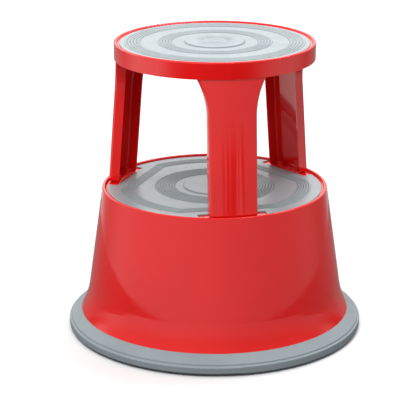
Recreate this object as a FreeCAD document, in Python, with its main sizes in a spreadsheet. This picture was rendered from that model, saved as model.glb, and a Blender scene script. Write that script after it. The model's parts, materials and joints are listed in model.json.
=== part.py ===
"""Kick step stool: a pressed steel drum that rolls on three sprung castors and carries a round
tread on three channel pillars.

The frame has +Z up and its origin on the floor under the centre of the stool. The front pillar
stands towards -Y. Sizes are millimetres and degrees.
"""

import FreeCAD, Part
import math
import os
import re

import Sketcher

DOC = FreeCAD.newDocument("kick_step_stool")

# Driving dimensions: one spreadsheet row each, as alias, value and what it measures.
SIZES = [
    ("overall_height", 430, "floor to the top of the upper rim"),
    ("step_height", 215, "floor to the top of the lower step's rim"),
    ("base_radius", 217.5, "outside of the rubber bumper"),
    ("step_radius", 165, "outside of the lower step at its rim"),
    ("top_radius", 145, "outside of the upper pan's skirt"),
    ("floor_gap", 3, "bumper to floor with nobody on the stool"),
    # drum and pan pressings
    ("drum_sheet", 1.2, "sheet of the drum and of the upper pan"),
    ("rim_width", 4.8, "width of the raised rim round each tread"),
    ("step_recess", 4, "depth of the lower tread's recess"),
    ("top_recess", 3.5, "depth of the upper tread's recess"),
    ("rim_bend", 2.2, "outer radius of the raised rims' bends"),
    ("skirt_height", 24.4, "depth of the upper pan's skirt, rim included"),
    ("flare_height", 45.7, "height where the drum wall's two slopes would meet"),
    ("flare_clearance", 0.4, "end of the blend between the wall's slopes to the bumper"),
    ("flare_reach", 16.1, "how far the flared skirt runs out below that height"),
    ("rim_inset", 11.9, "rubber outside the drum's lower edge"),
    ("lower_edge_height", 9, "floor to the drum's lower edge"),
    ("lower_edge_depth", 6, "upright strip at the drum's lower edge"),
    # rubber bumper
    ("bumper_height", 27.5, "floor to where the bumper meets the red wall"),
    ("bumper_ridge_height", 17.6, "floor to the ridge round the bumper"),
    ("bumper_bead_height", 15.2, "floor to the top of the bumper's lower bead"),
    ("bumper_bead_round", 2.4, "rounding of the bumper's lower bead"),
    ("bumper_lip", 5.6, "rubber inside the drum's lower edge"),
    ("bumper_lip_height", 10, "height of that inner lip"),
    # treads
    ("mat_thickness", 2.4, "rubber tread, tops of the ribs included"),
    ("mat_gap", 3, "bare strip between a tread and its rim"),
    ("disc_rise", 0.4, "centre disc above the tops of a tread's ribs"),
    ("lower_disc_radius", 45.5, "raised disc of the lower tread"),
    ("upper_disc_radius", 42.6, "raised disc of the upper tread"),
    ("notch_width", 97, "notch in the lower tread round a pillar's foot"),
    ("notch_inset", 8, "notch edge to the pillar's inner edge"),
    # pillars
    ("pillar_sheet", 2, "sheet of the pillars"),
    ("pillar_width", 68, "width of a pillar up to where it widens"),
    ("pillar_depth", 16.5, "depth of a pillar's channel"),
    ("pillar_foot_gap", 0.8, "pillar foot to the recess wall"),
    ("pillar_top_gap", 0.3, "pillar to the inside of the skirt"),
    ("wing_height", 56, "height over which a pillar widens below the skirt"),
    ("wing_radius", 115, "radius of the curve that widens a pillar"),
    ("pillar_bend", 5, "outer bend radius of the pillars"),
    # fasteners of the pillars
    ("bolt_radius", 3, "M6 thread"),
    ("bolt_clearance", 0.3, "radial clearance of the bolt holes"),
    ("bend_gap", 1.2, "washer to the inside of a pillar's bend"),
    ("bolt_spread", 36, "distance between a pillar's two bolts"),
    ("bolt_head_width", 10, "across the flats of heads and nuts"),
    ("bolt_head_height", 4, "height of a bolt head"),
    ("nut_height", 5, "height of a nut, flange included"),
    ("nut_flange_height", 1.2, "thickness of a nut's flange"),
    ("flange_radius", 5.6, "radius of the nut flanges and of the washers"),
    ("washer_thickness", 1.2, "thickness of a washer"),
    ("thread_past_nut", 3, "thread left past a nut"),
    # castors
    ("tyre_radius", 19, "radius of a castor's tyre"),
    ("wheel_width", 14, "width of a castor's wheel"),
    ("core_radius", 13, "radius of the wheel core under the tyre"),
    ("core_width", 13, "width of the wheel core at its hub"),
    ("core_web", 5, "width of the wheel core between hub and rim"),
    ("hub_radius", 6, "radius of the wheel's hub"),
    ("tyre_round", 3, "rounding of the tyre's shoulders"),
    ("trail", 12, "stem axis to axle"),
    ("axle_radius", 3, "axle pin"),
    ("axle_head_radius", 4.8, "riveted head of the axle"),
    ("axle_head_height", 1.4, "height of that head"),
    ("fork_sheet", 2, "sheet of the fork"),
    ("fork_side_gap", 0.8, "fork cheek to wheel"),
    ("fork_top_gap", 3.2, "wheel's top to the underside of the fork"),
    ("fork_back", 11, "fork behind the stem axis"),
    ("fork_front", 5, "fork's top past the axle"),
    ("cheek_round", 6, "rounding of the fork cheeks round the axle"),
    ("stem_radius", 4, "castor stem"),
    ("stem_foot_radius", 5.5, "riveted foot of the stem under the fork"),
    ("stem_foot_height", 1.3, "height of that foot"),
    ("collar_radius", 6.5, "collar of the stem above the fork"),
    ("collar_height", 1.5, "height of that collar"),
    ("castor_travel", 8, "how far a castor is pushed up against its spring"),
    ("stop_gap", 1, "collar to bracket at the end of the travel"),
    ("castor_clearance", 14, "swivelling wheel to the bumper's inner lip"),
    ("running_gap", 0.08, "radial clearance of shafts in their holes"),
    ("flat_gap", 0.2, "clearance between flat faces that slide or turn"),
    ("bracket_sheet", 2.5, "sheet of the castor brackets"),
    ("bracket_reach", 14, "bracket inwards of the stem axis"),
    ("bracket_span", 18, "angle that a bracket covers round the drum"),
    ("clip_thickness", 1.2, "retaining clip on the stem"),
    ("clip_radius", 7, "outside of that clip"),
    ("clip_bite", 0.7, "depth of the clip's groove in the stem"),
    ("seat_thickness", 1.5, "spring seat"),
    ("seat_rim", 2, "height of the spring seat's rim above the seat"),
    ("seat_wall", 1, "wall of that rim"),
    ("spring_radius", 8, "outside of the spring's coil"),
    ("spring_wire", 1.8, "spring wire diameter"),
    ("spring_length", 26, "length of the spring as fitted"),
    ("spring_turns", 6, "turns of the spring"),
    ("stem_past_bracket", 4, "stem above its bracket"),
]

# Sizes that follow from the driving ones, each as name, formula and meaning.
DERIVED = [
    ("step_floor", "step_height - step_recess", "top face of the drum's deck"),
    ("step_hollow", "step_radius - rim_width", "recess wall of the lower step"),
    ("edge_radius", "base_radius - rim_inset", "outside of the drum's lower edge"),
    ("flare_radius", "edge_radius - flare_reach", "outside of the drum where its slopes meet"),
    ("wall_slope", "(flare_radius - step_radius) / (step_height - flare_height)", "drum wall"),
    ("edge_top", "lower_edge_height + lower_edge_depth", "top of the drum's upright edge"),
    ("flare_slope", "flare_reach / (flare_height - edge_top)", "flared part of the drum wall"),
    ("wall_inset", "drum_sheet / cos(atan(wall_slope))", "drum wall measured level"),
    ("flare_inset", "drum_sheet / cos(atan(flare_slope))", "flared wall measured level"),
    ("flare_run", "(flare_height - bumper_height - flare_clearance) / cos(atan(flare_slope))",
     "how far the blend between the wall's slopes reaches from their corner"),
    ("flare_bend", "flare_run / tan((atan(flare_slope) - atan(wall_slope)) / 2)",
     "radius of that blend"),
    ("inner_flare_height", "flare_height - (flare_inset - wall_inset) / (flare_slope - wall_slope)",
     "height where the inner faces of the two slopes meet"),
    ("bumper_top_radius", "flare_radius + flare_slope * (flare_height - bumper_height)",
     "drum wall where the bumper's top meets it"),
    ("bumper_inner_radius", "edge_radius - drum_sheet - bumper_lip", "inside of the bumper"),
    ("top_floor", "overall_height - top_recess", "top face of the upper deck"),
    ("top_underside", "top_floor - drum_sheet", "underside of the upper deck"),
    ("top_hollow", "top_radius - rim_width", "recess wall of the upper pan"),
    ("skirt_bottom", "overall_height - skirt_height", "lower edge of the skirt"),
    ("foot_radius", "step_hollow - pillar_foot_gap", "pillar's outer face at its foot"),
    ("head_radius", "top_radius - drum_sheet - pillar_top_gap", "the same at the skirt's edge"),
    ("pillar_slope", "max((foot_radius - head_radius) / (skirt_bottom - step_floor); "
     "(foot_radius - head_radius) / (top_underside - step_floor))",
     "pillar lean that just clears the skirt"),
    ("pillar_crown", "foot_radius - pillar_slope * (top_underside - step_floor)",
     "pillar's outer face under the upper deck"),
    ("wing_start", "skirt_bottom - wing_height", "height where a pillar starts to widen"),
    ("wing_half", "pillar_width / 2 + wing_radius - sqrt(pow(wing_radius; 2) - pow(wing_height; 2))",
     "half width of a pillar inside the skirt"),
    ("pillar_block_angle", "4 * asin(wing_half / pillar_crown)",
     "sweep of the block that a pillar is cut from"),
    ("bolt_inset", "pillar_bend + flange_radius + bend_gap", "pillar's outer face to the bolts"),
    ("foot_bolt_ring", "foot_radius - bolt_inset", "radial place of the foot bolts"),
    ("head_bolt_ring", "pillar_crown - bolt_inset", "radial place of the studs"),
    ("hole_radius", "bolt_radius + bolt_clearance", "bolt holes"),
    ("head_corner", "bolt_head_width / 2 / cos(30)", "circumradius of heads and nuts"),
    ("castor_sweep", "sqrt(pow(trail + tyre_radius; 2) + pow(wheel_width / 2; 2))",
     "reach of a wheel that swivels about its stem"),
    ("castor_ring", "bumper_inner_radius - castor_clearance - castor_sweep",
     "radial place of the stems"),
    ("fork_underside", "2 * tyre_radius + fork_top_gap", "underside of the fork's top"),
    ("fork_top", "fork_underside + fork_sheet", "top of the fork"),
    ("cheek_inner", "wheel_width / 2 + fork_side_gap", "inside of a fork cheek"),
    ("cheek_outer", "cheek_inner + fork_sheet", "outside of a fork cheek"),
    ("collar_top", "fork_top + collar_height", "top of the stem's collar"),
    ("bracket_bottom", "collar_top + castor_travel + stop_gap", "underside of a bracket"),
    ("bracket_floor", "bracket_bottom + bracket_sheet", "top of a bracket's lower plate"),
    ("clip_bottom", "bracket_floor + flat_gap", "underside of the retaining clip"),
    ("clip_top", "clip_bottom + clip_thickness", "top of the retaining clip"),
    ("seat_bottom", "clip_top + flat_gap", "underside of the spring seat"),
    ("seat_top", "seat_bottom + seat_thickness", "face that carries the spring"),
    ("bracket_ceiling", "seat_top + spring_length", "underside of a bracket's upper plate"),
    ("bracket_top", "bracket_ceiling + bracket_sheet", "top of a bracket"),
    ("stem_top", "bracket_top + stem_past_bracket", "top of a stem"),
    ("guide_radius", "stem_radius + running_gap", "holes that guide a stem"),
    ("groove_radius", "stem_radius - clip_bite", "bottom of the clip's groove"),
    ("seat_inner_rim", "spring_radius + flat_gap", "inside of the seat's rim"),
]

# Places round the stool, as angles from +X.
PILLARS = {"pillar_front": -90, "pillar_right": 30, "pillar_left": 150}
CASTORS = {"castor_1": -30, "castor_2": 90, "castor_3": 210}
CASTOR_HEADING = 90  # each wheel trails this far round from its stem's radial line

SNAP = 0.01  # how far a point may lie from where it is looked for
PARTS = []


# ---------------------------------------------------------------- sizes and expressions

def fill_sheet():
    """Driving dimensions as aliased cells, and the worked-out ones as bound properties."""
    sheet = DOC.addObject("Spreadsheet::Sheet", "Sizes")
    for row, (alias, value, meaning) in enumerate(SIZES, start=1):
        sheet.set(f"A{row}", alias)
        sheet.set(f"B{row}", str(value))
        sheet.set(f"C{row}", meaning)
        sheet.setAlias(f"B{row}", alias)
    DOC.recompute()
    worked = DOC.addObject("App::VarSet", "Worked")
    for name, formula, meaning in DERIVED:
        worked.addProperty("App::PropertyFloat", name, "Worked out", meaning)
        worked.setExpression(name, bound(formula))
    DOC.recompute()
    return worked


OWNERS = {alias: "Sizes." for alias, _, _ in SIZES}
OWNERS.update({name: "Worked." for name, _, _ in DERIVED})


def bound(formula):
    """The formula with every size's name led by the object that holds it."""
    return re.sub(r"[a-z_]+", lambda word: OWNERS.get(word.group(), "") + word.group(), str(formula))


def measure(formula):
    """The formula's value now."""
    return float(WORKED.evalExpression(bound(formula)))


WORKED = fill_sheet()


# ---------------------------------------------------------------- building blocks

def new_body(label):
    body = DOC.addObject("PartDesign::Body", label)
    body.Label = label
    PARTS.append(body)
    return body


def placed(item, turn="0", out="0", heading="0", ahead="0", up="0"):
    """Stands an item at radius out in direction turn, turned to heading and moved ahead."""
    x = bound(f"({out}) * cos({turn}) + ({ahead}) * cos({heading})")
    y = bound(f"({out}) * sin({turn}) + ({ahead}) * sin({heading})")
    item.setExpression("Placement", f"placement(vector({x}; {y}; {bound(up)}); "
                                    f"rotation(vector(0; 0; 1); {heading}))")


def attach(sketch, body, role, lift="0"):
    """Lays a sketch on an origin plane of its own body, lifted along the plane's normal."""
    origin_plane = next(item for item in body.Origin.OriginFeatures if item.Role == role)
    sketch.AttachmentSupport = (origin_plane, [""])
    sketch.MapMode = "FlatFace"
    sketch.setExpression("AttachmentOffset.Base.z", bound(lift))


def pin_point(sketch, geometry, position, x, y):
    """Binds a point's two coordinates; None leaves a coordinate to the geometry."""
    for kind, formula in (("DistanceX", x), ("DistanceY", y)):
        if formula is not None:
            value = measure(formula)
            index = sketch.addConstraint(Sketcher.Constraint(kind, -1, 1, geometry, position, value))
            sketch.setExpression(f"Constraints[{index}]", bound(formula))


def outline(body, name, role, corners, lift="0", arcs=None):
    """Closed outline through corners, given as pairs of formulas.

    arcs maps a side's index to its centre and to the side's free end coordinate, so that an arc
    from corner i runs about that centre and lets its end follow from the radius.
    """
    arcs = arcs or {}
    sketch = body.newObject("Sketcher::SketchObject", name)
    attach(sketch, body, role, lift)
    points = [FreeCAD.Vector(measure(x), measure(y), 0) for x, y in corners]
    first, last = {}, {}
    for side, start in enumerate(points):
        end = points[(side + 1) % len(points)]
        # An arc's geometry runs anticlockwise, so its ends swap where the outline runs the other way.
        first[side], last[side] = 1, 2
        if side in arcs:
            centre = FreeCAD.Vector(measure(arcs[side][0]), measure(arcs[side][1]), 0)
            spokes = [start - centre, end - centre]
            if spokes[0].cross(spokes[1]).z < 0:
                spokes.reverse()
                first[side], last[side] = 2, 1
            swing = [math.atan2(spoke.y, spoke.x) for spoke in spokes]
            circle = Part.Circle(centre, FreeCAD.Vector(0, 0, 1), spokes[0].Length)
            sketch.addGeometry(Part.ArcOfCircle(circle, *swing))
        else:
            sketch.addGeometry(Part.LineSegment(start, end))
    for side in range(len(points)):
        after = (side + 1) % len(points)
        sketch.addConstraint(Sketcher.Constraint("Coincident", side, last[side], after, first[after]))
    for side, (x, y) in enumerate(corners):
        follows_arc = (side - 1) % len(points) in arcs
        pin_point(sketch, side, first[side], None if follows_arc else x, y)
    for side, (x, y) in arcs.items():
        pin_point(sketch, side, 3, x, y)
    return sketch


def circles(body, name, role, spots, lift="0"):
    """Circles, each given as formulas for its centre and radius."""
    sketch = body.newObject("Sketcher::SketchObject", name)
    attach(sketch, body, role, lift)
    for index, (x, y, radius) in enumerate(spots):
        centre = FreeCAD.Vector(measure(x), measure(y), 0)
        sketch.addGeometry(Part.Circle(centre, FreeCAD.Vector(0, 0, 1), measure(radius)))
        pin_point(sketch, index, 3, x, y)
        size = sketch.addConstraint(Sketcher.Constraint("Radius", index, measure(radius)))
        sketch.setExpression(f"Constraints[{size}]", bound(radius))
    return sketch


def revolve(body, sketch, angle="360"):
    """Turns a sketch about its upright axis, evenly to both sides."""
    turned = body.newObject("PartDesign::Revolution", sketch.Name + "_turned")
    turned.Profile = sketch
    turned.ReferenceAxis = (sketch, ["V_Axis"])
    turned.Midplane = True
    turned.setExpression("Angle", bound(angle))
    DOC.recompute()
    return turned


def pad(body, sketch, length, midplane=False):
    raised = body.newObject("PartDesign::Pad", sketch.Name + "_pad")
    raised.Profile = sketch
    raised.Midplane = midplane
    raised.setExpression("Length", bound(length))
    DOC.recompute()
    return raised


def pocket(body, sketch, length, midplane=False, along_normal=False):
    """Cuts a sketch's outline out of the body, and makes sure that it cut something."""
    before = body.Shape.Volume
    cut = body.newObject("PartDesign::Pocket", sketch.Name + "_cut")
    cut.Profile = sketch
    cut.Midplane = midplane
    cut.Reversed = along_normal
    cut.setExpression("Length", bound(length))
    DOC.recompute()
    if not body.Shape.Volume < before:
        raise RuntimeError(f"{cut.Label} in {body.Label} cuts nothing")
    return cut


def rings_at(feature, spots):
    """Names of a turned feature's circular edges that pass through the given (radius, height)."""
    names = []
    for radius, height in spots:
        corner = FreeCAD.Vector(measure(radius), 0, measure(height))
        names += edges_near(feature, lambda edge, corner=corner: (
            isinstance(edge.Curve, Part.Circle)
            and abs(edge.Curve.Radius - corner.x) < SNAP
            and abs(edge.Curve.Center.z - corner.z) < SNAP))
    return names


def edges_near(feature, wanted):
    return [f"Edge{index}" for index, edge in enumerate(feature.Shape.Edges, start=1) if wanted(edge)]


def fillet(body, feature, edges, radius):
    """Rounds the named edges of the body's last feature."""
    if not edges:
        raise RuntimeError(f"no edges to round on {body.Label}")
    rounded = body.newObject("PartDesign::Fillet", feature.Name + "_round")
    rounded.Base = (feature, edges)
    rounded.setExpression("Radius", bound(radius))
    DOC.recompute()
    return rounded


def primitive(kind, name, sizes, turn="0", out="0", side="0", up="0"):
    """Upright Part primitive at radius out and side steps across, in direction turn."""
    item = DOC.addObject(kind, name)
    for size, formula in sizes.items():
        item.setExpression(size, bound(formula))
    x = bound(f"({out}) * cos({turn}) - ({side}) * sin({turn})")
    y = bound(f"({out}) * sin({turn}) + ({side}) * cos({turn})")
    item.setExpression("Placement", f"placement(vector({x}; {y}; {bound(up)}); "
                                    f"rotation(vector(0; 0; 1); {turn}))")
    return item


def boolean(kind, label, base, tool):
    """Part::Cut or Part::Common of two objects."""
    result = DOC.addObject(kind, label)
    result.Base = base
    result.Tool = tool
    result.Label = label
    return result


def merged(label, items):
    """One object that holds the items' solids, joined where they touch."""
    group = DOC.addObject("Part::MultiFuse", label)
    group.Shapes = items
    group.Label = label
    return group


# ---------------------------------------------------------------- drum, bumper and treads

def base_drum():
    """Pressed drum in one sheet: recessed deck, raised rim, leaning wall, flare and lower edge."""
    body = new_body("base_drum")
    rim_crown = "step_height - drum_sheet"
    rim_inner = "step_hollow + drum_sheet"
    rim_outer = "step_radius - wall_inset + wall_slope * drum_sheet"
    deck_underside = "step_floor - drum_sheet"
    flare_inner = "flare_radius - wall_inset + wall_slope * (flare_height - inner_flare_height)"
    edge_inner = "edge_radius - drum_sheet"
    edge_bend = "edge_top - (flare_inset - drum_sheet) / flare_slope"
    section = outline(body, "drum_section", "XZ_Plane", [
        ("0", "step_floor"), ("step_hollow", "step_floor"), ("step_hollow", "step_height"),
        ("step_radius", "step_height"), ("flare_radius", "flare_height"),
        ("edge_radius", "edge_top"), ("edge_radius", "lower_edge_height"),
        (edge_inner, "lower_edge_height"), (edge_inner, edge_bend),
        (flare_inner, "inner_flare_height"), (rim_outer, rim_crown), (rim_inner, rim_crown),
        (rim_inner, deck_underside), ("0", deck_underside)])
    wall = revolve(body, section)
    outer_bends = rings_at(wall, [("step_hollow", "step_height"), ("step_radius", "step_height"),
                                  (rim_inner, deck_underside)])
    rim = fillet(body, wall, outer_bends, "rim_bend")
    inner_bends = rings_at(rim, [("step_hollow", "step_floor"), (rim_outer, rim_crown),
                                 (rim_inner, rim_crown)])
    rim = fillet(body, rim, inner_bends, "rim_bend - drum_sheet")
    flare = fillet(body, rim, rings_at(rim, [("flare_radius", "flare_height")]), "flare_bend")
    fillet(body, flare, rings_at(flare, [(flare_inner, "inner_flare_height")]),
           "flare_bend + drum_sheet")
    spots = []
    for turn in PILLARS.values():
        for side in ("bolt_spread / 2", "-bolt_spread / 2"):
            spots.append((f"foot_bolt_ring * cos({turn}) - ({side}) * sin({turn})",
                          f"foot_bolt_ring * sin({turn}) + ({side}) * cos({turn})", "hole_radius"))
    holes = circles(body, "drum_bolt_holes", "XY_Plane", spots, "step_floor")
    pocket(body, holes, "2 * drum_sheet")


def base_bumper():
    """Rubber ring that grips the drum's lower edge."""
    body = new_body("base_bumper")
    edge_inner = "edge_radius - drum_sheet"
    ridge = "base_radius - 4.4"
    section = outline(body, "bumper_section", "XZ_Plane", [
        ("bumper_top_radius", "bumper_height"), ("bumper_top_radius + 1.6", "bumper_height + 0.4"),
        (ridge, "bumper_ridge_height"), ("base_radius - 3.4", "bumper_ridge_height"),
        ("base_radius - 2.8", "bumper_bead_height"), ("base_radius", "bumper_bead_height"),
        ("base_radius", "floor_gap"), ("bumper_inner_radius", "floor_gap"),
        ("bumper_inner_radius", "floor_gap + bumper_lip_height"),
        (edge_inner, "floor_gap + bumper_lip_height"), (edge_inner, "lower_edge_height"),
        ("edge_radius", "lower_edge_height"), ("edge_radius", "edge_top")])
    ring = revolve(body, section)
    bead = [("base_radius", "bumper_bead_height"), ("base_radius", "floor_gap")]
    fillet(body, ring, rings_at(ring, bead), "bumper_bead_round")


def upper_pan():
    """Pressed pan of the upper tread: recessed deck, raised rim and skirt."""
    body = new_body("top_pan")
    rim_crown = "overall_height - drum_sheet"
    rim_inner = "top_hollow + drum_sheet"
    skirt_inner = "top_radius - drum_sheet"
    section = outline(body, "pan_section", "XZ_Plane", [
        ("0", "top_floor"), ("top_hollow", "top_floor"), ("top_hollow", "overall_height"),
        ("top_radius", "overall_height"), ("top_radius", "skirt_bottom"),
        (skirt_inner, "skirt_bottom"), (skirt_inner, rim_crown), (rim_inner, rim_crown),
        (rim_inner, "top_underside"), ("0", "top_underside")])
    wall = revolve(body, section)
    outer_bends = rings_at(wall, [("top_hollow", "overall_height"), ("top_radius", "overall_height"),
                                  (rim_inner, "top_underside")])
    rim = fillet(body, wall, outer_bends, "rim_bend")
    inner_bends = rings_at(rim, [("top_hollow", "top_floor"), (skirt_inner, rim_crown),
                                 (rim_inner, rim_crown)])
    fillet(body, rim, inner_bends, "rim_bend - drum_sheet")


def tread(label, hollow, floor, disc_radius):
    """Round rubber tread with a raised disc at its centre."""
    body = new_body(label)
    edge = f"{hollow} - mat_gap"
    section = outline(body, label + "_section", "XZ_Plane", [
        ("0", floor), (edge, floor), (edge, f"{floor} + mat_thickness"),
        (disc_radius, f"{floor} + mat_thickness"),
        (disc_radius, f"{floor} + mat_thickness + disc_rise"),
        ("0", f"{floor} + mat_thickness + disc_rise")])
    revolve(body, section)
    return body


def lower_mat():
    """Lower tread, notched round the three pillar feet."""
    body = tread("lower_mat", "step_hollow", "step_floor", "lower_disc_radius")
    inner_edge = "foot_radius - pillar_depth - notch_inset"
    across = "notch_width / 2"
    for name, turn in PILLARS.items():
        corners = [(inner_edge, f"-{across}"), ("step_radius", f"-{across}"),
                   ("step_radius", across), (inner_edge, across)]
        turned = [(f"({out}) * cos({turn}) - ({side}) * sin({turn})",
                   f"({out}) * sin({turn}) + ({side}) * cos({turn})") for out, side in corners]
        notch = outline(body, "notch_at_" + name, "XY_Plane", turned, "step_floor + mat_thickness")
        pocket(body, notch, "mat_thickness")


# ---------------------------------------------------------------- pillars

def channel_block(body, inset):
    """Solid block inside a pillar's outer faces, drawn in from them by inset and rounded."""
    name = body.Label
    level_inset = f"({inset}) / cos(atan(pillar_slope))"
    foot, crown = f"step_floor + ({inset})", f"top_underside - ({inset})"
    outer_foot = f"foot_radius - pillar_slope * ({inset}) - {level_inset}"
    outer_crown = f"pillar_crown + pillar_slope * ({inset}) - {level_inset}"
    depth = f"(pillar_depth + ({inset}))"
    section = outline(body, name + "_section", "XZ_Plane", [
        (f"{outer_foot} - {depth}", foot), (outer_foot, foot), (outer_crown, crown),
        (f"{outer_crown} - {depth}", crown)])
    revolve(body, section, "pillar_block_angle")
    half, wing = f"(pillar_width / 2 - ({inset}))", f"(wing_half - ({inset}))"
    centre = f"({half} + ({inset}) + wing_radius)"
    wing_top = f"wing_start + sqrt(pow(wing_radius + ({inset}); 2) - pow({centre} - {wing}; 2))"
    above, below = "overall_height", "step_floor - drum_sheet"
    for side, sign in (("right", ""), ("left", "-")):
        corners = [(sign + half, below), (sign + half, "wing_start"), (sign + wing, wing_top),
                   (sign + wing, above), (sign + "step_radius", above),
                   (sign + "step_radius", below)]
        waste = outline(body, f"{name}_{side}_side", "YZ_Plane", corners,
                        arcs={1: (sign + centre, "wing_start")})
        trimmed = pocket(body, waste, "step_radius", along_normal=True)

    web_foot, web_slope = measure(outer_foot), measure("pillar_slope")
    low, high, side_face = measure(foot), measure(crown), measure(half)

    def on_web(point):
        web = web_foot - web_slope * (point.z - low)
        return abs(math.hypot(point.x, point.y) - web) < SNAP

    def is_bend(edge):
        samples = edge.discretize(Number=5)
        if all(abs(point.z - high) < SNAP for point in samples):
            return False
        if all(on_web(point) for point in samples):
            return True
        return all(abs(point.z - low) < SNAP and abs(abs(point.y) - side_face) < SNAP
                   for point in samples)

    return fillet(body, trimmed, edges_near(trimmed, is_bend), f"pillar_bend - ({inset})")


def pillar(label, turn):
    """Pressed channel, open towards the stool's axis, that widens into wings under the pan."""
    body = new_body(label)
    channel_block(body, "0")
    hollow = DOC.addObject("PartDesign::Body", label + "_hollow")
    hollow.Label = label + "_hollow"
    channel_block(hollow, "pillar_sheet")
    opened = body.newObject("PartDesign::Boolean", label + "_channel")
    opened.Type = "Cut"
    opened.setObjects([hollow])
    DOC.recompute()
    for name, ring, floor in (("foot", "foot_bolt_ring", "step_floor + pillar_sheet"),
                              ("head", "head_bolt_ring", "top_underside")):
        spots = [(ring, f"{sign}bolt_spread / 2", "hole_radius") for sign in ("", "-")]
        holes = circles(body, f"{label}_{name}_holes", "XY_Plane", spots, floor)
        pocket(body, holes, "pillar_sheet")
    placed(body, heading=turn)


# ---------------------------------------------------------------- fasteners

def at_fixings(make, ring):
    """Calls make for the two fixings of every pillar, with each one's place."""
    made = []
    for name, turn in PILLARS.items():
        for mark, side in (("a", "bolt_spread / 2"), ("b", "-bolt_spread / 2")):
            made.append(make(f"{name}_{mark}", {"turn": turn, "out": ring, "side": side}))
    return made


def keep(item):
    PARTS.append(item)
    return item


def rod(name, radius, low, high, place):
    return primitive("Part::Cylinder", name, {"Radius": radius, "Height": f"({high}) - ({low})"},
                     up=low, **place)


def hexagon(name, low, height, place):
    item = primitive("Part::Prism", name, {"Circumradius": "head_corner", "Height": height},
                     up=low, **place)
    item.Polygon = 6
    return item


def drilled(label, solids, holes):
    """The joined solids with every hole cut through them."""
    return keep(boolean("Part::Cut", label, merged(label + "_blanks", solids),
                        merged(label + "_holes", holes)))


def foot_bolts():
    """Hexagon bolts that hold the pillars' feet to the deck."""
    seat = "step_floor + pillar_sheet + washer_thickness"
    tip = "step_floor - drum_sheet - nut_height - thread_past_nut"
    heads = at_fixings(lambda name, place: hexagon("bolt_head_" + name, seat, "bolt_head_height", place),
                       "foot_bolt_ring")
    shanks = at_fixings(lambda name, place: rod("bolt_shank_" + name, "bolt_radius", tip, seat, place),
                        "foot_bolt_ring")
    keep(merged("pillar_foot_bolts", heads + shanks))


def foot_washers():
    low, high = "step_floor + pillar_sheet", "step_floor + pillar_sheet + washer_thickness"
    discs = at_fixings(lambda name, place: rod("washer_" + name, "flange_radius", low, high, place),
                       "foot_bolt_ring")
    holes = at_fixings(lambda name, place: rod("washer_hole_" + name, "bolt_radius + running_gap",
                                               low, high, place), "foot_bolt_ring")
    drilled("pillar_foot_washers", discs, holes)


def flange_nuts(label, ring, seat):
    """Hexagon nuts with a flange, clamping upwards against the seat."""
    low = f"{seat} - nut_height"
    flanges = at_fixings(lambda name, place: rod(f"{label}_flange_{name}", "flange_radius",
                                                 f"{seat} - nut_flange_height", seat, place), ring)
    grips = at_fixings(lambda name, place: hexagon(f"{label}_grip_{name}", low, "nut_height", place),
                       ring)
    holes = at_fixings(lambda name, place: rod(f"{label}_hole_{name}", "bolt_radius + running_gap",
                                               low, seat, place), ring)
    drilled(label, flanges + grips, holes)


def head_studs():
    """Threaded studs welded under the upper pan, one pair to a pillar."""
    low = "top_underside - pillar_sheet - nut_height - thread_past_nut"
    studs = at_fixings(lambda name, place: rod("stud_" + name, "bolt_radius", low, "top_underside",
                                               place), "head_bolt_ring")
    keep(merged("top_weld_studs", studs))


# ---------------------------------------------------------------- castors

def castor_bracket(name, turn):
    """C-shaped pressing welded inside the drum wall; its two plates guide the castor's stem."""
    label = name + "_bracket"
    body = new_body(label)

    def wall(height):
        return f"(step_radius + wall_slope * (step_height - ({height})) - wall_inset)"

    reach = "castor_ring - bracket_reach"
    section = outline(body, label + "_section", "XZ_Plane", [
        (reach, "bracket_bottom"), (wall("bracket_bottom"), "bracket_bottom"),
        (wall("bracket_top"), "bracket_top"), (reach, "bracket_top"), (reach, "bracket_ceiling"),
        (wall("bracket_ceiling") + " - bracket_sheet", "bracket_ceiling"),
        (wall("bracket_floor") + " - bracket_sheet", "bracket_floor"), (reach, "bracket_floor")])
    revolve(body, section, "bracket_span")
    guide = circles(body, label + "_guide", "XY_Plane", [("castor_ring", "0", "guide_radius")],
                    "bracket_top")
    pocket(body, guide, "bracket_top - bracket_bottom")
    placed(body, heading=turn)


def stand_castor(item, turn, ahead="0", up="0"):
    placed(item, turn=turn, out="castor_ring", heading=turn + CASTOR_HEADING, ahead=ahead, up=up)


def turned_piece(label, points, rounds=()):
    """Body of revolution about the stem axis or, laid down later, about the axle."""
    body = new_body(label)
    shape = revolve(body, outline(body, label + "_section", "XZ_Plane", points))
    if rounds:
        corners, radius = rounds
        fillet(body, shape, rings_at(shape, corners), radius)
    return body


def castor_stem(name, turn):
    """Stem riveted through the fork, with a collar, a clip groove and a long guided shank."""
    body = turned_piece(name + "_stem", [
        ("0", "fork_underside - stem_foot_height"),
        ("stem_foot_radius", "fork_underside - stem_foot_height"),
        ("stem_foot_radius", "fork_underside"), ("stem_radius", "fork_underside"),
        ("stem_radius", "fork_top"), ("collar_radius", "fork_top"),
        ("collar_radius", "collar_top"), ("stem_radius", "collar_top"),
        ("stem_radius", "clip_bottom"), ("groove_radius", "clip_bottom"),
        ("groove_radius", "clip_top"), ("stem_radius", "clip_top"),
        ("stem_radius", "stem_top - clip_bite"), ("groove_radius", "stem_top"), ("0", "stem_top")])
    stand_castor(body, turn)


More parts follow.
